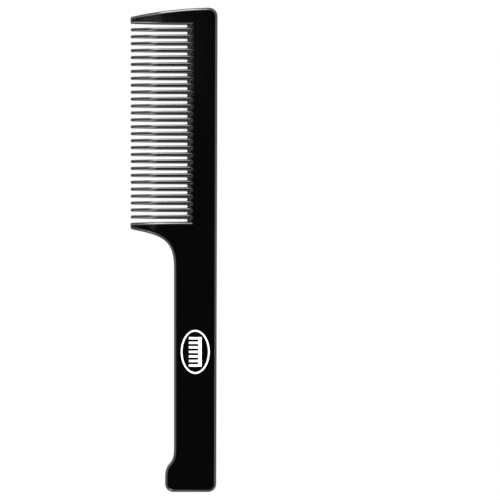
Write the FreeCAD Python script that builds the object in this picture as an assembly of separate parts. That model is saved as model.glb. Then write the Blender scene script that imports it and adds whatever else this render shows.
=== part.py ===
import FreeCAD, Part
import math
import os

# A one-hand beard comb, moulded in one shot of hard plastic: a flat handle with a small toe, a straight
# back, 28 thin teeth between two guards, and a small badge printed on the handle. The moulding is given
# as its features, which meet face to face at the lines where they join: handle, back, guards and teeth.
# Millimetres. The comb lies on its back face at Z = 0, with +Z up through its thickness, +Y towards the
# toothed head and the teeth pointing to -X. X = 0 and Y = 0 are the middle of its overall box.

Vector = FreeCAD.Vector

# Head, along Y
tooth_count = 28
tooth_width = 1.6  # at the root
tooth_gap = 0.9  # at the root
front_guard_width = 6.3  # at the back
heel_depth = 16.3  # from the last gap down to the start of the handle
heel_tip_land = 0.3  # what stays flat across the heel guard's tip, between its rounded rims

# Head, along X
back_width = 10.9  # spine edge to the bottom of the gaps
tooth_length = 20.55  # bottom of the gaps to the tips
tooth_tip_width = 1.15
lead_in_length = 10.0  # the last stretch of a tooth, which thins towards its tip
lead_in_ease = 4.0  # where the lead-in starts, its slope grows to the full one over this length

# Handle
handle_length = 81.15
handle_width = 15.77
spine_taper = 0.5  # how far the spine edge leans in over the whole length
toe_flare = 3.2
toe_height = 15.5  # from the bottom up to where the flare starts
toe_foot = 5.1  # from the bottom up to where the flare ends
toe_softness = 0.62  # how far the flare's curve runs straight on at its two ends, as a share of its height
handle_corner = 2.95

# Thickness, along Z
thickness = 4.0
guard_tip_land = 0.4  # what stays upright at a guard's tip, between its rounded rims
guard_taper_length = 12.2
guard_ease = 0.4  # how far a guard's inner edge has drawn back from its row of teeth at the tip
guard_nose = 0.5  # rounding of a guard's end, all the way round
tooth_root_thickness = 2.8
tooth_lead_thickness = 2.8  # where the lead-in starts
tooth_tip_thickness = 1.0
tooth_crest = 0.6  # height of a tooth's rounded crest, as a share of its half width
ease_sections = 4  # along the lead-in's first stretch
nose_turns = (40.0, 75.0)  # degrees round the tip's nose, where its sections stand
nose_flat = 0.12  # the nose's tiny flat end, as a share of the tip's section
edge_round = 1.0  # the rims of both faces, all the way round

# Outline curves
top_edge_radius = 150.0
head_corner = 3.1
sweep_angle = 12.2  # degrees below the horizontal, where the heel's sweep leaves the guard's tip
sweep_reach = 9.9
sweep_drop = 10.9

# Root pockets: the scalloped edge of the back, one scallop to each tooth
root_land = 0.7  # from the bottom of a gap to the point between two scallops
scallop_depth = 0.9
scallop_softness = 0.45  # how far a scallop's curve runs straight on at its ends, as a share of its width
pocket_draft = 0.4  # how far a pocket's wall leans over its whole height
pocket_turn = (0.75, 0.55)  # where the end scallops turn beside the guards, as shares of their two widths

# Printed badge
print_thickness = 0.06
badge_width = 10.4
badge_height = 15.8
badge_line = 0.6
badge_from_end = 50.55
motif_height = 10.6
motif_width = 4.6
motif_spine = 1.2
motif_teeth = 7
motif_tooth = 0.8

# Places worked out from the sizes above
tooth_pitch = tooth_width + tooth_gap
toothed_length = tooth_count * tooth_width + (tooth_count + 1) * tooth_gap
overall_length = handle_length + heel_depth + toothed_length + front_guard_width
head_width = back_width + tooth_length
x_spine = head_width / 2
x_tip = -head_width / 2
x_gap = x_spine - back_width
x_split = x_gap - tooth_gap / 2
x_handle = x_spine - handle_width
y_top = overall_length / 2
y_front = y_top - front_guard_width
y_heel = y_front - toothed_length
y_handle = y_heel - heel_depth
y_end = -overall_length / 2
z_middle = thickness / 2
heel_tip_width = 2 * edge_round + heel_tip_land
guard_tip_thickness = 2 * edge_round + guard_tip_land
web_thickness = thickness - 2 * edge_round  # the floor of the root pockets, between the teeth
tiny = 1e-6
margin = 1.0


def spine_at(y):
    """X of the spine edge, which leans in slightly towards the handle's end."""
    return x_spine - spine_taper * (y_top - y) / overall_length


def top_edge_at(x):
    """Y of the head's gently arched top edge."""
    return y_top - top_edge_radius + math.sqrt(top_edge_radius**2 - (x_spine - x) ** 2)


def tooth_centre(number):
    return y_front - tooth_gap - tooth_width / 2 - number * tooth_pitch


def point(x, y, z=0.0):
    return Vector(x, y, z)


def line(start, end):
    return Part.LineSegment(start, end).toShape()


def arc(start, middle, end):
    return Part.Arc(start, middle, end).toShape()


def bezier(poles):
    curve = Part.BezierCurve()
    curve.setPoles(poles)
    return curve.toShape()


def plate(edges, height=thickness):
    """A flat plate on Z = 0, from the closed outline that these edges make."""
    return Part.Face(Part.Wire(edges)).extrude(Vector(0, 0, height))


def round_corner(solid, x, y, radius):
    """Rounds the upright edge at one corner of a plate's outline."""
    upright = []
    for edge in solid.Edges:
        ends = [vertex.Point for vertex in edge.Vertexes]
        if all(abs(end.x - x) < tiny and abs(end.y - y) < tiny for end in ends):
            upright.append(edge)
    return solid.makeFillet(radius, upright)


def in_joint(spots, joints):
    """Whether all the spots lie in one of the planes, each given as an axis and a value."""
    return any(all(abs(spot[axis] - value) < tiny for spot in spots) for axis, value in joints)


def round_rims(solid, joints):
    """Rounds the edges of both flat faces, except where the solid meets its neighbours."""
    rims = []
    for edge in solid.Edges:
        spots = [edge.valueAt(edge.getParameterByLength(edge.Length * share)) for share in (0.0, 0.4, 1.0)]
        upright = abs(spots[0].x - spots[2].x) + abs(spots[0].y - spots[2].y) < tiny
        if not upright and not in_joint(spots, joints):
            rims.append(edge)
    return solid.makeFillet(edge_round, rims)


def handle():
    """The grip, from the heel to the rounded end, with the toe on the teeth's side."""
    top_left = point(x_handle, y_handle)
    flare_start = point(x_handle, y_end + toe_height)
    flare_end = point(x_handle - toe_flare, y_end + toe_foot)
    pull = Vector(0, toe_softness * (toe_height - toe_foot), 0)
    end_left = point(x_handle - toe_flare, y_end)
    end_right = point(spine_at(y_end), y_end)
    top_right = point(spine_at(y_handle), y_handle)
    solid = plate(
        [
            line(top_left, flare_start),
            bezier([flare_start, flare_start - pull, flare_end + pull, flare_end]),
            line(flare_end, end_left),
            line(end_left, end_right),
            line(end_right, top_right),
            line(top_right, top_left),
        ]
    )
    solid = round_corner(solid, end_left.x, end_left.y, handle_corner)
    solid = round_corner(solid, end_right.x, end_right.y, handle_corner)
    return round_rims(solid, [(1, y_handle)])


def head_thickness():
    """A block as long as the head whose two faces close in on each other towards the tips."""
    x_flat = x_tip + guard_taper_length
    thinning = (thickness - guard_tip_thickness) / 2
    sides = {}
    for face, way in ((0.0, 1), (thickness, -1)):
        flat = point(x_flat, y_handle - margin, face)
        between = point(x_tip + guard_taper_length / 2, flat.y, face + way * thinning / 4)
        tip = point(x_tip, flat.y, face + way * thinning)
        sides[face] = (flat, arc(flat, between, tip), tip)
    low_flat, low_arc, low_tip = sides[0.0]
    high_flat, high_arc, high_tip = sides[thickness]
    low_end = point(x_spine, low_flat.y, 0.0)
    high_end = point(x_spine, low_flat.y, thickness)
    section = [
        line(low_end, low_flat),
        low_arc,
        line(low_tip, high_tip),
        high_arc,
        line(high_flat, high_end),
        line(high_end, low_end),
    ]
    return Part.Face(Part.Wire(section)).extrude(Vector(0, y_top - y_handle + 2 * margin, 0))


def round_nose(solid):
    """Rounds a guard's end all the way round its tip."""
    rims = [edge for edge in solid.Edges if all(abs(v.Point.x - x_tip) < tiny for v in edge.Vertexes)]
    return solid.makeFillet(guard_nose, rims)


def front_guard():
    """The wide end tooth at the top of the head."""
    middle = (x_split + x_tip) / 2
    inner_tip = point(x_tip, y_front + guard_ease)
    inner_root = point(x_split, y_front)
    outer_root = point(x_split, top_edge_at(x_split))
    outer_tip = point(x_tip, top_edge_at(x_tip))
    solid = plate(
        [
            arc(inner_tip, point(middle, y_front + guard_ease / 4), inner_root),
            line(inner_root, outer_root),
            arc(outer_root, point(middle, top_edge_at(middle)), outer_tip),
            line(outer_tip, inner_tip),
        ]
    )
    solid = solid.common(head_thickness())
    solid = round_rims(solid, [(0, x_split), (0, x_tip + guard_taper_length), (0, x_tip)])
    return round_nose(solid)


def heel_guard():
    """The end tooth above the handle, with the long hollow sweep that runs down into the grip."""
    tip = point(x_tip, y_heel - guard_ease)
    middle = point((x_tip + x_split) / 2, y_heel - guard_ease / 4)
    root = point(x_split, y_heel)
    low_root = point(x_split, y_handle)
    sweep_end = point(x_handle, y_handle)
    sweep_start = point(x_tip, tip.y - heel_tip_width)
    slope = math.radians(sweep_angle)
    leave = Vector(math.cos(slope), -math.sin(slope), 0) * sweep_reach
    arrive = Vector(0, sweep_drop, 0)
    solid = plate(
        [
            arc(tip, middle, root),
            line(root, low_root),
            line(low_root, sweep_end),
            bezier([sweep_end, sweep_end + arrive, sweep_start + leave, sweep_start]),
            line(sweep_start, tip),
        ]
    )
    solid = solid.common(head_thickness())
    solid = round_rims(solid, [(0, x_split), (1, y_handle), (0, x_tip + guard_taper_length), (0, x_tip)])
    return round_nose(solid)


def tooth_section(x, y, half_width, half_thickness):
    """A tooth's section across X: upright sides with a rounded crest above and below."""
    shoulder = half_thickness - tooth_crest * half_width
    corners = [
        point(x, y + half_width, z_middle - shoulder),
        point(x, y + half_width, z_middle + shoulder),
        point(x, y - half_width, z_middle + shoulder),
        point(x, y - half_width, z_middle - shoulder),
    ]
    crest = point(x, y, z_middle + half_thickness)
    keel = point(x, y, z_middle - half_thickness)
    return Part.Wire(
        [
            line(corners[0], corners[1]),
            arc(corners[1], crest, corners[2]),
            line(corners[2], corners[3]),
            arc(corners[3], keel, corners[0]),
        ]
    )


def lead_in_thickness(along):
    """A tooth's thickness at a distance along its lead-in, which slopes more and more to begin with."""
    sloping = lead_in_length - tooth_tip_width / 2 - lead_in_ease / 2
    slope = (tooth_lead_thickness - tooth_tip_thickness) / sloping
    if along < lead_in_ease:
        return tooth_lead_thickness - slope * along**2 / (2 * lead_in_ease)
    return tooth_lead_thickness - slope * (along - lead_in_ease / 2)


def tooth(number):
    """One tooth, from its root at the back to its rounded tip."""
    y = tooth_centre(number)
    x_lead = x_tip + lead_in_length
    tip_radius = tooth_tip_width / 2
    sections = [tooth_section(x_split, y, tooth_width / 2, tooth_root_thickness / 2)]
    stations = [lead_in_ease * step / ease_sections for step in range(ease_sections + 1)]
    for station in stations + [lead_in_length - tip_radius]:
        x = x_lead - station
        along = (x_split - x) / (x_split - x_tip)
        half_width = (tooth_width + (tooth_tip_width - tooth_width) * along**2) / 2
        half_thickness = lead_in_thickness(station) / 2
        sections.append(tooth_section(x, y, half_width, half_thickness))
    for turn in nose_turns:
        shrink = math.cos(math.radians(turn))
        x = x_tip + tip_radius * (1 - math.sin(math.radians(turn)))
        sections.append(tooth_section(x, y, half_width * shrink, half_thickness * shrink))
    nose = tooth_section(x_tip, y, half_width * nose_flat, half_thickness * nose_flat)
    return Part.makeLoft(sections + [nose], True, True)


def pocket_outline(z, lean, side):
    """The scalloped outline of the root pockets at height z: the scallops are drawn back towards the gaps
    by lean, and the first and last of them end beside the guards, at a distance of side."""
    x_point = x_gap + root_land - lean
    x_crown = x_point + scallop_depth
    x_open = x_split - margin
    first = y_front - tooth_gap / 2
    last = y_heel + tooth_gap / 2
    along, across = pocket_turn
    edges = [line(point(x_open, y_front + side, z), point(x_gap, y_front + side, z))]
    corner = point(x_gap + (x_point - x_gap) * along, y_front + side * across, z)
    edges.append(arc(point(x_gap, y_front + side, z), corner, point(x_point, first, z)))
    pull = Vector(0, scallop_softness * tooth_pitch / 2, 0)
    for number in range(tooth_count):
        y = tooth_centre(number)
        upper = point(x_point, y + tooth_pitch / 2, z)
        crown = point(x_crown, y, z)
        lower = point(x_point, y - tooth_pitch / 2, z)
        edges.append(bezier([upper, upper - pull, crown + pull, crown]))
        edges.append(bezier([crown, crown - pull, lower + pull, lower]))
    corner = point(corner.x, y_heel - side * across, z)
    edges.append(arc(point(x_point, last, z), corner, point(x_gap, y_heel - side, z)))
    edges.append(line(point(x_gap, y_heel - side, z), point(x_open, y_heel - side, z)))
    edges.append(line(point(x_open, y_heel - side, z), point(x_open, y_front + side, z)))
    return Part.Wire(edges)


def root_pockets():
    """Everything above and below the web at the foot of the teeth, as one cutter for each face."""
    depth = (thickness - web_thickness) / 2
    beyond = 0.2
    slope = pocket_draft / depth
    cutters = []
    for floor, way in ((z_middle + web_thickness / 2, 1), (z_middle - web_thickness / 2, -1)):
        low = pocket_outline(floor, pocket_draft, 0.0)
        high = pocket_outline(floor + way * (depth + beyond), -slope * beyond, edge_round + beyond)
        cutters.append(Part.makeLoft([low, high], True, True))
    return cutters


def back():
    """The bar that carries the teeth, with the head's rounded corner and a pocket at each tooth's root."""
    low_left = point(x_split, y_handle)
    low_right = point(spine_at(y_handle), y_handle)
    corner = point(x_spine, y_top)
    high_left = point(x_split, top_edge_at(x_split))
    middle = (x_split + x_spine) / 2
    solid = plate(
        [
            line(low_left, low_right),
            line(low_right, corner),
            arc(corner, point(middle, top_edge_at(middle)), high_left),
            line(high_left, low_left),
        ]
    )
    solid = round_corner(solid, corner.x, corner.y, head_corner)
    solid = round_rims(solid, [(0, x_split), (1, y_handle)])
    solid = solid.cut(root_pockets())
    roots = []
    reach = Vector(x_gap + root_land + scallop_depth - x_split, 0, 0)
    for number in range(tooth_count):
        root = tooth_section(x_split, tooth_centre(number), tooth_width / 2, tooth_root_thickness / 2)
        roots.append(Part.Face(root).extrude(reach))
    solid = solid.fuse(roots)
    gap_ends = []
    for number in range(tooth_count + 1):
        y = tooth_centre(number) + tooth_pitch / 2
        foot = point(x_split, y, -margin)
        gap_ends.append(Part.makeCylinder(tooth_gap / 2, thickness + 2 * margin, foot))
    return solid.cut(gap_ends).removeSplitter()


def badge_place():
    """The middle of the printed badge, on the handle's centre line."""
    y = y_end + badge_from_end
    return point((x_handle + spine_at(y)) / 2, y, thickness)


def badge_ring():
    """The badge's plain oval border, a thin layer of ink."""
    centre = badge_place()
    half_height = badge_height / 2
    half_width = badge_width / 2
    upright = FreeCAD.Rotation(Vector(0, 0, 1), 90)
    faces = []
    for inset in (0.0, badge_line):
        oval = Part.Ellipse(Vector(0, 0, 0), half_height - inset, half_width - inset).toShape()
        oval.Placement = FreeCAD.Placement(centre, upright)
        faces.append(Part.Face(Part.Wire([oval])).extrude(Vector(0, 0, print_thickness)))
    return faces[0].cut(faces[1])


def badge_motif():
    """A plain little comb inside the oval: a spine with short teeth, the same ink."""
    centre = badge_place()
    left = centre.x - motif_width / 2
    low = centre.y - motif_height / 2
    spine_place = point(left + motif_width - motif_spine, low, thickness)
    solid = Part.makeBox(motif_spine, motif_height, print_thickness, spine_place)
    step = (motif_height - motif_tooth) / (motif_teeth - 1)
    teeth = []
    for number in range(motif_teeth):
        place = point(left, low + number * step, thickness)
        teeth.append(Part.makeBox(motif_width, motif_tooth, print_thickness, place))
    return solid.fuse(teeth).removeSplitter()


def export(name, shape):
    solids = shape.Solids
    assert len(solids) == 1 and solids[0].isValid(), name
    solids[0].exportStep("parts/" + name + ".step")


os.makedirs("parts", exist_ok=True)
export("handle", handle())
export("back", back())
export("front_guard", front_guard())
export("heel_guard", heel_guard())
for number in range(tooth_count):
    export(f"tooth_{number + 1:02d}", tooth(number))
export("badge_ring", badge_ring())
export("badge_motif", badge_motif())
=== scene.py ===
import math

import bmesh
import bpy
from mathutils import Matrix, Vector
from mathutils.geometry import interpolate_bezier


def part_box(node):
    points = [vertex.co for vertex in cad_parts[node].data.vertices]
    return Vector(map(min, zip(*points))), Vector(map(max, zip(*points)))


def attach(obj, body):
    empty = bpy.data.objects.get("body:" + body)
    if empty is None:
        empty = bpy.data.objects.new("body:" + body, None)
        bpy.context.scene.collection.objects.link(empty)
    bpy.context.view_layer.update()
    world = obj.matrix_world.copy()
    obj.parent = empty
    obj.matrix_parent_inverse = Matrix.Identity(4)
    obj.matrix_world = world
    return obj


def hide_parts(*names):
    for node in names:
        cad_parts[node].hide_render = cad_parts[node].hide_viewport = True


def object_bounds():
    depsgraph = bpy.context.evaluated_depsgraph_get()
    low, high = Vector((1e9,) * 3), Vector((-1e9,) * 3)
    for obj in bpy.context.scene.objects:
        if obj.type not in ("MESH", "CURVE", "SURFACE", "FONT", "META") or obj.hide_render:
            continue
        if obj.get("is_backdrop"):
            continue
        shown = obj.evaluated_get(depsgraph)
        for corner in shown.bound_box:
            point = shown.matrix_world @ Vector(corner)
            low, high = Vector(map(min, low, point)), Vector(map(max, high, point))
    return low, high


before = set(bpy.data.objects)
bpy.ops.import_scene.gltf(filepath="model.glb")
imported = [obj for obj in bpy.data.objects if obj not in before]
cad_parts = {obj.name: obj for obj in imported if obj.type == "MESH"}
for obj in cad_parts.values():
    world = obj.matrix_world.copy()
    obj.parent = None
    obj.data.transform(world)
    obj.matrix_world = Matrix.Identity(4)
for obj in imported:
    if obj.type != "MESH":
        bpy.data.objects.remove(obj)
cad_low, cad_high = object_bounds()


# ---- Camera ----
# A long lens looks straight down on the comb, which lies on its back with its head at the top of the
# view and room for a second tool at its right.
view_width = 0.18
view_centre = Vector((0.027375, -0.0001))
camera_distance = 1.0

camera_data = bpy.data.cameras.new("camera")
camera_data.sensor_width = 36.0
camera_data.lens = camera_data.sensor_width * camera_distance / view_width
camera_data.clip_end = 10.0
camera = bpy.data.objects.new("camera", camera_data)
camera.location = (view_centre.x, view_centre.y, cad_high.z + camera_distance)
bpy.context.scene.collection.objects.link(camera)
bpy.context.scene.camera = camera
bpy.context.scene.view_settings.view_transform = "Standard"


# ---- Studio ----
# A pale table that glows evenly, in a room with white walls, one shaded corner and a dark ceiling. A tall
# soft panel stands beyond the head and a slim one at the near left, with fainter ones overhead and a small
# card close by.
floor_size = 8.0
floor_drop = 0.00005
floor_glow = 0.98
table_grey = (0.02, 0.02, 0.02, 1)
table_roughness = 0.9
white = (1.0, 1.0, 1.0, 1)
ceiling_grey = (0.006, 0.006, 0.006, 1)
wall_end = 0.80  # the sine of the angle above the table at which the walls begin to darken
ceiling_start = 0.975  # and at which the dark ceiling begins
low_wall_glow = 1.3
wall_glow_rise = 0.9
wall_lean = 0.8  # how far the walls brighten towards the far side
least_lean = 0.07
corner_turn = 246  # degrees from +X
corner_edge = 0.955  # the cosine of the angle off the corner at which its shade begins
corner_core = 0.99  # and at which it is deepest
corner_light = 0.12


class Socket:
    """A number or colour that varies over a surface. Expressions on it add the nodes that work it out."""

    def __init__(self, tree, link):
        self.tree = tree
        self.link = link

    def node(self, kind, output=0, settings=None, **values):
        """Adds a node: its settings first, then each input, by its name or by its number as in _0."""
        made = self.tree.nodes.new(kind)
        for name, value in (settings or {}).items():
            if name == "stops":
                for element, (place, colour) in zip(made.color_ramp.elements, value):
                    element.position = place
                    element.color = colour
            else:
                setattr(made, name, value)
        for name, value in values.items():
            place = int(name[1:]) if name[0] == "_" else name.replace("_", " ")
            if isinstance(value, Socket):
                self.tree.links.new(value.link, made.inputs[place])
            else:
                made.inputs[place].default_value = value
        return Socket(self.tree, made.outputs[output])

    def maths(self, operation, first, second):
        return self.node("ShaderNodeMath", settings={"operation": operation}, _0=first, _1=second)

    def __add__(self, other):
        return self.maths("ADD", self, other)

    def __radd__(self, other):
        return self.maths("ADD", other, self)

    def __mul__(self, other):
        return self.maths("MULTIPLY", self, other)

    def __rmul__(self, other):
        return self.maths("MULTIPLY", other, self)


def start_material(name):
    """A new material, its shader and the object's own coordinates."""
    material = bpy.data.materials.new(name)
    material.use_nodes = True
    tree = material.node_tree
    place = tree.nodes.new("ShaderNodeTexCoord").outputs["Object"]
    return material, tree.nodes["Principled BSDF"], Socket(tree, place)


shell = bmesh.new()
bmesh.ops.create_grid(shell, x_segments=1, y_segments=1, size=floor_size / 2)
bmesh.ops.translate(shell, vec=(0, 0, cad_low.z - floor_drop), verts=shell.verts)
floor_mesh = bpy.data.meshes.new("floor")
shell.to_mesh(floor_mesh)
shell.free()
floor = bpy.data.objects.new("floor", floor_mesh)
bpy.context.scene.collection.objects.link(floor)
floor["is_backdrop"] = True

table_top, table_shader, _ = start_material("pale_table")
table_shader.inputs["Base Color"].default_value = table_grey
table_shader.inputs["Roughness"].default_value = table_roughness
table_shader.inputs["Specular IOR Level"].default_value = 0.0
table_shader.inputs["Emission Color"].default_value = white
table_shader.inputs["Emission Strength"].default_value = floor_glow
floor_mesh.materials.append(table_top)

world = bpy.data.worlds.new("studio")
world.use_nodes = True
bpy.context.scene.world = world
sky = Socket(world.node_tree, world.node_tree.nodes.new("ShaderNodeTexCoord").outputs["Generated"])
far = sky.node("ShaderNodeSeparateXYZ", output=1, Vector=sky)
height = sky.node("ShaderNodeSeparateXYZ", output=2, Vector=sky)
walls = height.node(
    "ShaderNodeValToRGB",
    settings={"stops": [(wall_end, white), (ceiling_start, ceiling_grey)]},
    Fac=height,
)
dark_corner = (math.cos(math.radians(corner_turn)), math.sin(math.radians(corner_turn)), 0.0)
nearness = sky.node(
    "ShaderNodeVectorMath",
    output=1,
    settings={"operation": "DOT_PRODUCT"},
    _0=sky,
    _1=dark_corner,
)
corner_share = nearness.node(
    "ShaderNodeMapRange",
    _0=nearness,
    _1=corner_edge,
    _2=corner_core,
    _3=1.0,
    _4=corner_light,
)
larger = {"operation": "MAXIMUM"}
leaning = height.node("ShaderNodeMath", settings=larger, _0=1 + wall_lean * far * height, _1=least_lean)
reflected = leaning * corner_share * (low_wall_glow + wall_glow_rise * height)
seen = walls.node("ShaderNodeLightPath")
wall_glow = walls.node("ShaderNodeMath", settings=larger, _0=reflected, _1=seen)
shown = walls.node(
    "ShaderNodeMix",
    output=2,
    settings={"data_type": "RGBA"},
    _0=seen,
    _6=walls,
    _7=white,
)
backdrop = world.node_tree.nodes["Background"]
world.node_tree.links.new(shown.link, backdrop.inputs["Color"])
world.node_tree.links.new(wall_glow.link, backdrop.inputs["Strength"])


def soft_panel(name, turn, tilt, distance, width, length, glow):
    """A soft panel that faces the comb, turned from +X and tilted off straight up by so many degrees."""
    turn = math.radians(turn)
    tilt = math.radians(tilt)
    data = bpy.data.lights.new(name, "AREA")
    data.shape = "RECTANGLE"
    data.size = width
    data.size_y = length
    data.energy = glow * math.pi * width * length
    panel = bpy.data.objects.new(name, data)
    away = Vector((math.sin(tilt) * math.cos(turn), math.sin(tilt) * math.sin(turn), math.cos(tilt)))
    panel.location = away * distance
    panel.rotation_euler = away.to_track_quat("Z", "Y").to_euler()
    bpy.context.scene.collection.objects.link(panel)


soft_panel("far_panel", turn=96.2, tilt=62, distance=1.2, width=0.15, length=1.1, glow=11.0)
soft_panel("far_high_panel", turn=90, tilt=27, distance=1.2, width=0.5, length=0.38, glow=1.6)
soft_panel("far_left_panel", turn=110, tilt=28, distance=1.2, width=0.2, length=0.35, glow=3.0)
soft_panel("far_faint_panel", turn=140, tilt=11, distance=1.2, width=0.2, length=0.22, glow=0.35)
soft_panel("near_left_panel", turn=248.5, tilt=37, distance=1.2, width=0.18, length=0.75, glow=8.0)
soft_panel("near_panel", turn=270, tilt=26, distance=1.2, width=0.5, length=0.5, glow=0.1)
soft_panel("near_card", turn=262, tilt=70, distance=0.27, width=0.08, length=0.07, glow=1.8)


# ---- Handle ----
# The flat grip, with a small toe at its end that stops the hand from slipping. It is part of the one
# moulding of glossy black plastic, and its rims are rounded all the way round. Its sizes, and those of all
# the pieces after it, are in millimetres until make_piece turns them into metres.
millimetre = 0.001
same_place = 0.001
crease_angle = 35
rim_radius = 1.0
rim_steps = 8
corner_steps = 10
curve_steps = 16
toe_flare = 3.2
toe_height = 15.5
toe_foot = 5.1
toe_softness = 0.62
handle_corner = 2.95
spine_taper = 0.5


def corners_of(node):
    """A CAD node's lowest and highest corner, in millimetres."""
    low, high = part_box(node)
    return low / millimetre, high / millimetre


comb_low = cad_low / millimetre
comb_high = cad_high / millimetre
thickness = corners_of("handle")[1].z
middle = thickness / 2
comb_length = comb_high.y - comb_low.y


def spine_at(y):
    """X of the spine edge, which leans in slightly towards the handle's end."""
    return comb_high.x - spine_taper * (comb_high.y - y) / comb_length


def curve(start, start_pull, end_pull, end):
    """The points between two ends of a smooth curve that leaves them along the two pulls."""
    knots = [Vector((*spot, 0)) for spot in (start, start_pull, end_pull, end)]
    return [(spot.x, spot.y) for spot in interpolate_bezier(*knots, curve_steps + 1)[1:-1]]


def plate(outline):
    """A closed flat plate of the comb's thickness from the corners of its outline."""
    shell = bmesh.new()
    face = shell.faces.new([shell.verts.new((x, y, 0)) for x, y in outline])
    raised = bmesh.ops.extrude_face_region(shell, geom=[face])["geom"]
    lifted = [item for item in raised if isinstance(item, bmesh.types.BMVert)]
    bmesh.ops.translate(shell, vec=(0, 0, thickness), verts=lifted)
    bmesh.ops.recalc_face_normals(shell, faces=shell.faces)
    return shell


def round_edges(shell, edges, radius, steps):
    bmesh.ops.bevel(
        shell,
        geom=edges,
        offset=radius,
        segments=steps,
        profile=0.5,
        affect="EDGES",
        clamp_overlap=False,
        material=-1,
    )


def round_corner(shell, x, y, radius):
    """Rounds the upright edge at one corner of a plate."""
    spot = Vector((x, y))
    upright = [edge for edge in shell.edges if all((v.co.xy - spot).length < same_place for v in edge.verts)]
    round_edges(shell, upright, radius, corner_steps)


def round_rims(shell, joints, radius=rim_radius, steps=rim_steps):
    """Rounds the rims of both faces, but not at the joints, each given as an axis and a value."""
    rims = []
    for edge in shell.edges:
        start, end = (vertex.co for vertex in edge.verts)
        level = abs(start.z - end.z) < same_place
        joined = any(abs(start[axis] - at) + abs(end[axis] - at) < same_place for axis, at in joints)
        if level and not joined and len(edge.link_faces) == 2:
            rims.append(edge)
    round_edges(shell, rims, radius, steps)


def make_piece(name, shell, material, nodes, level_faces=True):
    """Turns a finished shell into a piece of the comb that stands for its CAD nodes."""
    bmesh.ops.scale(shell, vec=(millimetre,) * 3, verts=shell.verts)
    mesh = bpy.data.meshes.new(name)
    shell.to_mesh(mesh)
    shell.free()
    mesh.shade_smooth()
    mesh.set_sharp_from_angle(angle=math.radians(crease_angle))
    mesh.materials.append(material)
    piece = bpy.data.objects.new(name, mesh)
    bpy.context.scene.collection.objects.link(piece)
    if level_faces:
        level = piece.modifiers.new("level_faces", "WEIGHTED_NORMAL")
        level.keep_sharp = True
    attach(piece, "root")
    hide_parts(*nodes)


# The plastic is black right through, with a high polish from the mould. Its gloss varies a little where
# the melt flowed and where fingers and a cloth have been, and the polish has a faint ripple.
deep_black = (0.0005, 0.0005, 0.0006, 1)
soft_black = (0.0010, 0.0010, 0.0011, 1)
polish = 0.05
flow_marks = 0.03
smudge_marks = 0.03
scratch_marks = 0.02
scratch_height = 0.3  # beside the ripple's
plastic_ior = 1.59

black_plastic, plastic, place = start_material("black_plastic")
flow = place.node(
    "ShaderNodeTexNoise",
    Vector=place.node("ShaderNodeMapping", Vector=place, Scale=(1, 0.25, 1)),
    Scale=60.0,
    Detail=3.0,
    Roughness=0.5,
)
smudges = place.node("ShaderNodeTexNoise", Vector=place, Scale=140.0, Detail=5.0, Roughness=0.6)
scratches = place.node(
    "ShaderNodeTexNoise",
    Vector=place.node("ShaderNodeMapping", Vector=place, Scale=(40, 1, 1)),
    Scale=220.0,
    Detail=2.0,
    Roughness=0.5,
)
ripple = place.node("ShaderNodeTexNoise", Vector=place, Scale=420.0, Detail=2.0, Roughness=0.4)
gloss = polish + flow_marks * flow + smudge_marks * smudges + scratch_marks * scratches
tint = place.node(
    "ShaderNodeMix",
    output=2,
    settings={"data_type": "RGBA"},
    _0=flow,
    _6=deep_black,
    _7=soft_black,
)
relief = ripple + scratch_height * scratches
skin = ripple.node("ShaderNodeBump", Strength=0.05, Distance=0.00004, Height=relief)
tree = black_plastic.node_tree
tree.links.new(tint.link, plastic.inputs["Base Color"])
tree.links.new(gloss.link, plastic.inputs["Roughness"])
tree.links.new(skin.link, plastic.inputs["Normal"])
plastic.inputs["IOR"].default_value = plastic_ior

handle_low, handle_high = corners_of("handle")
x_handle = handle_low.x + toe_flare
y_end = handle_low.y
y_handle = handle_high.y
flare_start = (x_handle, y_end + toe_height)
flare_end = (handle_low.x, y_end + toe_foot)
pull = toe_softness * (toe_height - toe_foot)
flare = curve(flare_start, (x_handle, flare_start[1] - pull), (handle_low.x, flare_end[1] + pull), flare_end)
grip = plate(
    [
        (x_handle, y_handle),
        flare_start,
        *flare,
        flare_end,
        (handle_low.x, y_end),
        (spine_at(y_end), y_end),
        (spine_at(y_handle), y_handle),
    ]
)
round_corner(grip, handle_low.x, y_end, handle_corner)
round_corner(grip, spine_at(y_end), y_end, handle_corner)
round_rims(grip, [(1, y_handle)])
make_piece("handle", grip, black_plastic, ["handle"])


# ---- Back ----
# The straight bar that carries the teeth, moulded with the handle in the same plastic. Each tooth has its
# own shallow pocket in both faces at its root, so that the pockets' ends make a scalloped line, and a
# thinner web joins the teeth there.
root_land = 0.7
scallop_depth = 0.9
scallop_steps = 12
pocket_draft = 0.4
lip_radius = 0.3
lip_steps = 5
wall_margin = 0.15
wall_band = 0.4
web_edge = 0.12
web_edge_steps = 3
web_overlap = 0.5
gap_steps = 10
top_edge_radius = 150.0
head_corner = 3.1
corner_room = 1.1 * head_corner
cut_tolerance = 0.0001

teeth = sorted(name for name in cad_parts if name.startswith("tooth_"))
tooth_low, tooth_high = corners_of(teeth[0])
tooth_pitch = tooth_low.y - corners_of(teeth[1])[0].y
tooth_width = tooth_high.y - tooth_low.y
tooth_gap = tooth_pitch - tooth_width
x_split = tooth_high.x
x_gap = x_split + tooth_gap / 2
x_bar = x_gap + root_land + scallop_depth + lip_radius + wall_margin
x_band = x_bar + wall_band
y_top = comb_high.y
y_front = tooth_high.y + tooth_gap
y_heel = corners_of(teeth[-1])[0].y - tooth_gap
web_low = rim_radius
web_high = thickness - rim_radius


def tooth_centre(number):
    """Y of the middle of a tooth, counted from the head."""
    return y_front - tooth_gap - tooth_width / 2 - number * tooth_pitch


def top_edge_at(x):
    """Y of the head's gently arched top edge."""
    return y_top - top_edge_radius + math.sqrt(top_edge_radius**2 - (comb_high.x - x) ** 2)


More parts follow.
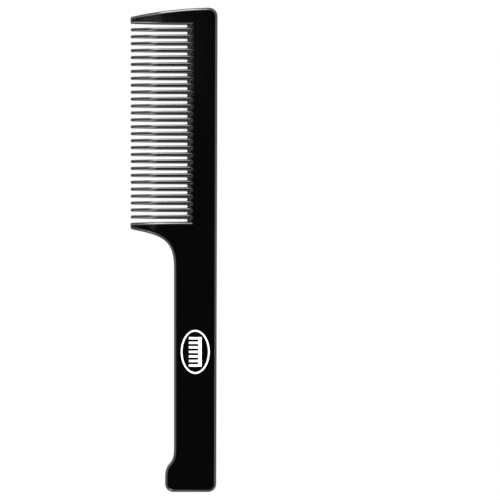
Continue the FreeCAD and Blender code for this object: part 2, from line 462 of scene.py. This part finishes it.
def top_edge(start, end):
    """Points along the top edge between two places along X."""
    places = [start + (end - start) * step / curve_steps for step in range(curve_steps + 1)]
    return [(x, top_edge_at(x)) for x in places]


def cut_across(shell, faces, axis, places):
    """Cuts some of a shell's faces along planes across one axis."""
    normal = Vector([1.0 if index == axis else 0.0 for index in range(3)])
    for place in places:
        edges = {edge for face in faces for edge in face.edges}
        points = {vertex for face in faces for vertex in face.verts}
        geometry = [*points, *edges, *faces]
        cut = bmesh.ops.bisect_plane(
            shell,
            geom=geometry,
            dist=cut_tolerance,
            plane_co=normal * place,
            plane_no=normal,
        )
        faces = [item for item in cut["geom"] if isinstance(item, bmesh.types.BMFace)]


def pocket_wall(y, z):
    """X of the pockets' wall, with its draft and its rounded lip."""
    first = y_front - tooth_gap / 2
    inside = (first - y) % tooth_pitch - tooth_pitch / 2
    if not y_heel + tooth_gap / 2 - tooth_pitch / 2 <= y <= first + tooth_pitch / 2:
        return x_bar
    below_face = middle - abs(z - middle)
    high = max(0.0, 1 - below_face / rim_radius)
    lip = lip_radius - math.sqrt(lip_radius**2 - max(0.0, lip_radius - below_face) ** 2)
    scallop = (1 + math.cos(2 * math.pi * inside / tooth_pitch)) / 2
    reach = root_land - pocket_draft + scallop_depth * scallop
    return x_gap + reach + pocket_draft * high + lip


bar = plate(
    [
        (x_bar, y_handle),
        (spine_at(y_handle), y_handle),
        (comb_high.x, y_top),
        *reversed(top_edge(x_bar, comb_high.x - corner_room)),
    ]
)
round_corner(bar, comb_high.x, y_top, head_corner)
round_rims(bar, [(0, x_bar), (1, y_handle)])
cut_across(bar, bar.faces[:], 0, [x_band])
wall = [face for face in bar.faces if abs(face.calc_center_median().x - x_bar) < same_place]
levels = [web_low, web_high]
for step in range(1, lip_steps + 1):
    level = lip_radius * (1 - math.cos(math.radians(90) * step / lip_steps))
    levels += [level, thickness - level]
cut_across(bar, wall, 2, levels)

# The scallops go on for half a pitch past those of the first tooth and the last one.
scallop_places = []
for number in range(-1, len(teeth) + 1):
    for step in range(scallop_steps):
        share = step / scallop_steps
        if (number >= 0 or share >= 0.5) and (number < len(teeth) or share <= 0.5):
            scallop_places.append(tooth_centre(number) + tooth_pitch * (0.5 - share))
toothed = [face for face in bar.faces if face.calc_center_median().x < x_band]
cut_across(bar, toothed, 1, scallop_places)
for vertex in bar.verts:
    if abs(vertex.co.x - x_bar) < same_place:
        vertex.co.x = pocket_wall(vertex.co.y, vertex.co.z)

web_foot = y_heel - web_overlap
web_head = y_front + web_overlap
web_outline = [(x_bar, web_foot), (x_bar, web_head), (x_split, web_head)]
for number in range(len(teeth) + 1):
    gap = y_front - tooth_gap / 2 - number * tooth_pitch
    for step in range(gap_steps + 1):
        turn = math.radians(90 - 180 * step / gap_steps)
        web_outline.append((x_split + tooth_gap / 2 * math.cos(turn), gap + tooth_gap / 2 * math.sin(turn)))
web_outline.append((x_split, web_foot))
web = plate(web_outline)
for vertex in web.verts:
    vertex.co.z = web_low if vertex.co.z < middle else web_high
round_rims(web, [(0, x_bar), (1, web_foot), (1, web_head)], web_edge, web_edge_steps)


def join_shells(main, *others):
    """Adds the other shells to the main one, as one piece."""
    for other in others:
        spare = bpy.data.meshes.new("spare")
        other.to_mesh(spare)
        other.free()
        main.from_mesh(spare)
        bpy.data.meshes.remove(spare)


front_root = plate([(x_split, y_front), (x_bar, y_front), *reversed(top_edge(x_split, x_bar))])
round_rims(front_root, [(0, x_split), (0, x_bar)])
heel_root = plate([(x_split, y_handle), (x_bar, y_handle), (x_bar, y_heel), (x_split, y_heel)])
round_rims(heel_root, [(0, x_split), (0, x_bar), (1, y_handle)])
join_shells(bar, web, front_root, heel_root)
make_piece("back", bar, black_plastic, ["back"])


# ---- Guards ----
# The wide end teeth that protect the thin ones, part of the same moulding. Both thin out towards their
# tips, and the lower one runs down into the handle in a long hollow sweep.
guard_thinning = 0.8  # off each face at the tip
guard_taper = 12.2
guard_steps = 24
guard_ease = 0.4
guard_nose = 0.5
nose_steps = 6
heel_tip_width = 2.3
sweep_angle = 12.2
sweep_reach = 9.9
sweep_drop = 10.9

x_tip = comb_low.x


def thin_towards_tip(shell):
    """Brings both faces of a guard closer together towards its tip."""
    places = [x_tip + guard_taper * (1 - step / guard_steps) for step in range(guard_steps)]
    cut_across(shell, shell.faces[:], 0, places)
    for vertex in shell.verts:
        along = max(0.0, (x_tip + guard_taper - vertex.co.x) / guard_taper)
        side = 1 if vertex.co.z > middle else -1
        vertex.co.z -= side * guard_thinning * along**2


def inner_edge(y, way):
    """Points from tip to root along a guard's inner edge, which draws back from the teeth at its tip."""
    shares = [step / curve_steps for step in range(curve_steps + 1)]
    return [(x_tip + (x_split - x_tip) * share, y + way * guard_ease * (1 - share) ** 2) for share in shares]


def round_nose(shell):
    """Rounds a guard's end all the way round its tip."""
    rims = []
    for edge in shell.edges:
        at_tip = all(abs(vertex.co.x - x_tip) < same_place for vertex in edge.verts)
        if at_tip and len(edge.link_faces) == 2:
            rims.append(edge)
    round_edges(shell, rims, guard_nose, nose_steps)


front = plate([*inner_edge(y_front, 1), *reversed(top_edge(x_tip, x_split))])
round_rims(front, [(0, x_split), (0, x_tip)])
round_nose(front)
thin_towards_tip(front)
make_piece("front_guard", front, black_plastic, ["front_guard"])

slope = math.radians(sweep_angle)
sweep_start = (x_tip, y_heel - guard_ease - heel_tip_width)
sweep_pull = (x_tip + sweep_reach * math.cos(slope), sweep_start[1] - sweep_reach * math.sin(slope))
sweep = curve(sweep_start, sweep_pull, (x_handle, y_handle + sweep_drop), (x_handle, y_handle))
heel_corners = [sweep_start, *sweep, (x_handle, y_handle), (x_split, y_handle)]
heel = plate([*reversed(inner_edge(y_heel, -1)), *heel_corners])
round_rims(heel, [(0, x_split), (1, y_handle), (0, x_tip)])
round_nose(heel)
thin_towards_tip(heel)
make_piece("heel_guard", heel, black_plastic, ["heel_guard"])


# ---- Teeth ----
# Twenty-eight thin teeth in one row, moulded with the back in the same plastic. Each has upright sides and
# rounded crests. It keeps its thickness over its inner half, then thins and ends in a small round nose.
tooth_sides = 24
body_half = 1.4
tip_half = 0.5
tooth_tip_width = 1.15
tooth_crest = 0.6
lead_in = 10.0
lead_in_ease = 4.0
ease_steps = 10
nose_radius = tooth_tip_width / 2
nose_turns = (15, 30, 45, 60, 75, 90)
nose_blunt = 0.12  # the share of the section that is left at the very tip
tip_step = 1.5


def tooth_size(x):
    """Half of a tooth's width and half of its thickness at a place along X."""
    along = max(0.0, (x_split - x) / (x_split - x_tip))
    half_width = (tooth_width + (tooth_tip_width - tooth_width) * along**2) / 2
    thinning = (body_half - tip_half) / (lead_in - nose_radius - lead_in_ease / 2)
    beyond = x_tip + lead_in - x
    if beyond < 0:
        half = body_half
    elif beyond < lead_in_ease:
        half = body_half - thinning * beyond**2 / (2 * lead_in_ease)
    else:
        half = body_half - thinning * (beyond - lead_in_ease / 2)
    return half_width, half


tooth_end = x_gap + root_land + scallop_depth
tooth_places = [x_split]
tooth_places += [x_tip + lead_in - lead_in_ease * step / ease_steps for step in range(ease_steps + 1)]
tooth_places += [x_tip + nose_radius + tip_step * step for step in (1, 2)]
tooth_places += [x_tip + nose_radius * (1 - math.cos(math.radians(turn))) for turn in nose_turns]

for number, name in enumerate(teeth):
    tooth = bmesh.new()
    along_x = Matrix.Rotation(math.radians(90), 4, "Y") @ Matrix.Rotation(math.pi / tooth_sides, 4, "Z")
    bmesh.ops.create_cone(
        tooth,
        cap_ends=True,
        segments=tooth_sides,
        radius1=1.0,
        radius2=1.0,
        depth=tooth_end - x_tip,
        matrix=Matrix.Translation(((tooth_end + x_tip) / 2, 0, 0)) @ along_x,
    )
    cut_across(tooth, tooth.faces[:], 0, tooth_places)
    for vertex in tooth.verts:
        half_width, half = tooth_size(vertex.co.x)
        from_tip = min(1.0, max(0.0, (vertex.co.x - x_tip) / nose_radius))
        nose = max(nose_blunt, math.sqrt(1 - (1 - from_tip) ** 2))
        side = 1 if vertex.co.z > 0 else -1
        shoulder = half - tooth_crest * half_width
        vertex.co.y *= half_width * nose
        vertex.co.z = (vertex.co.z * tooth_crest * half_width + side * shoulder) * nose
    bmesh.ops.translate(tooth, vec=(0, tooth_centre(number), middle), verts=tooth.verts)
    make_piece(name, tooth, black_plastic, [name], level_faces=False)


# ---- Badge ----
# A plain oval with a little comb inside it, pad-printed in one pass of white ink on the handle's face. The
# ink stands a few hundredths of a millimetre proud and has soft edges.
ring_line = 0.6
ring_steps = 96
motif_spine = 1.2
motif_teeth = 7
motif_tooth = 0.8
ink_edge = 0.02
ink_edge_steps = 2
thin_ink = (0.80, 0.80, 0.78, 1)
full_ink = (0.90, 0.90, 0.88, 1)
ink_roughness = 0.38
ink_unevenness = 0.18

white_ink, ink, place = start_material("white_ink")
grain = place.node("ShaderNodeTexNoise", Vector=place, Scale=3000.0, Detail=3.0, Roughness=0.6)
cover = place.node("ShaderNodeTexNoise", Vector=place, Scale=500.0, Detail=2.0, Roughness=0.5)
ink_tint = place.node(
    "ShaderNodeMix",
    output=2,
    settings={"data_type": "RGBA"},
    _0=cover,
    _6=thin_ink,
    _7=full_ink,
)
ink_skin = grain.node("ShaderNodeBump", Strength=0.2, Distance=0.00001, Height=grain)
ink_gloss = ink_roughness + ink_unevenness * grain
tree = white_ink.node_tree
tree.links.new(ink_tint.link, ink.inputs["Base Color"])
tree.links.new(ink_gloss.link, ink.inputs["Roughness"])
tree.links.new(ink_skin.link, ink.inputs["Normal"])


def print_layer(shell, height):
    """Gives a flat printed shape the ink's height, with a soft upper edge."""
    raised = bmesh.ops.extrude_face_region(shell, geom=shell.faces[:])["geom"]
    lifted = [item for item in raised if isinstance(item, bmesh.types.BMVert)]
    bmesh.ops.translate(shell, vec=(0, 0, height), verts=lifted)
    bmesh.ops.recalc_face_normals(shell, faces=shell.faces)
    top = max(vertex.co.z for vertex in shell.verts)
    edges = []
    for edge in shell.edges:
        on_top = all(abs(vertex.co.z - top) < same_place for vertex in edge.verts)
        if on_top and any(abs(face.normal.z) < 0.5 for face in edge.link_faces):
            edges.append(edge)
    round_edges(shell, edges, ink_edge, ink_edge_steps)


ring_low, ring_high = corners_of("badge_ring")
ring_middle = (ring_low + ring_high) / 2
ring_half = (ring_high - ring_low) / 2
ring = bmesh.new()
for inset in (0.0, ring_line):
    oval = bmesh.ops.create_circle(ring, segments=ring_steps, radius=1.0)["verts"]
    bmesh.ops.scale(ring, vec=(ring_half.x - inset, ring_half.y - inset, 1), verts=oval)
bmesh.ops.bridge_loops(ring, edges=ring.edges[:])
bmesh.ops.translate(ring, vec=(ring_middle.x, ring_middle.y, ring_low.z), verts=ring.verts)
print_layer(ring, ring_high.z - ring_low.z)
make_piece("badge_ring", ring, white_ink, ["badge_ring"])

motif_low, motif_high = corners_of("badge_motif")
motif_step = (motif_high.y - motif_low.y - motif_tooth) / (motif_teeth - 1)
motif_outline = [(motif_high.x, motif_low.y), (motif_high.x, motif_high.y)]
for number in reversed(range(motif_teeth)):
    low = motif_low.y + number * motif_step
    motif_outline += [(motif_low.x, low + motif_tooth), (motif_low.x, low)]
    if number:
        x_root = motif_high.x - motif_spine
        motif_outline += [(x_root, low), (x_root, low - motif_step + motif_tooth)]
motif = bmesh.new()
motif.faces.new([motif.verts.new((x, y, motif_low.z)) for x, y in motif_outline])
print_layer(motif, motif_high.z - motif_low.z)
make_piece("badge_motif", motif, white_ink, ["badge_motif"])


# ---- Hand-over ----
# The overall box of the shown pieces is worked out again, as the CAD model's was at the start.
low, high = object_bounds()
